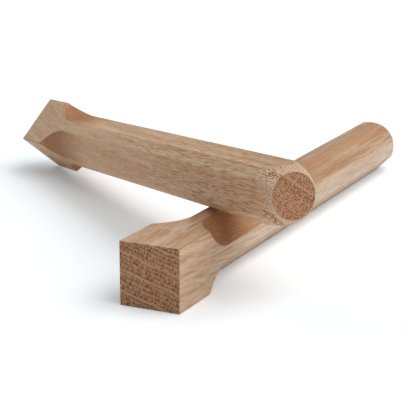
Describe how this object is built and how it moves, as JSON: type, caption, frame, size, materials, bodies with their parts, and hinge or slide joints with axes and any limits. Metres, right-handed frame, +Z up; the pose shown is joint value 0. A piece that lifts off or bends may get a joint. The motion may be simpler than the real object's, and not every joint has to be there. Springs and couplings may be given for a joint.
{
  "type": "claves",
  "caption": "Pair of solid oak claves with square heads, chamfered shafts and rounded tips, one lying flat and the other leaning across it.",
  "frame": {"origin": "centre of the flat underside of the lower clave's square head, which lies on the table", "axes": "+Z up from the table; +Y along the lower clave from its square head to its rounded tip; +X to the right when the square head faces you, towards the side where the upper clave's tip ends"},
  "size_m": [0.1699, 0.2, 0.0428],
  "materials": {
    "lower_oak": "bare oak, planed and lightly sanded, matt",
    "upper_oak": "bare oak, planed and lightly sanded, matt, a shade browner than the other stick"
  },
  "bodies": {
    "lower": {"lower_clave": "lower_oak"},
    "upper": {"upper_clave": "upper_oak"}
  },
  "joints": [
    {"name": "upper_lift", "type": "slide", "parent": "lower", "child": "upper", "axis": [0, 0, 1], "range_m": [0, 0.12]}
  ]
}
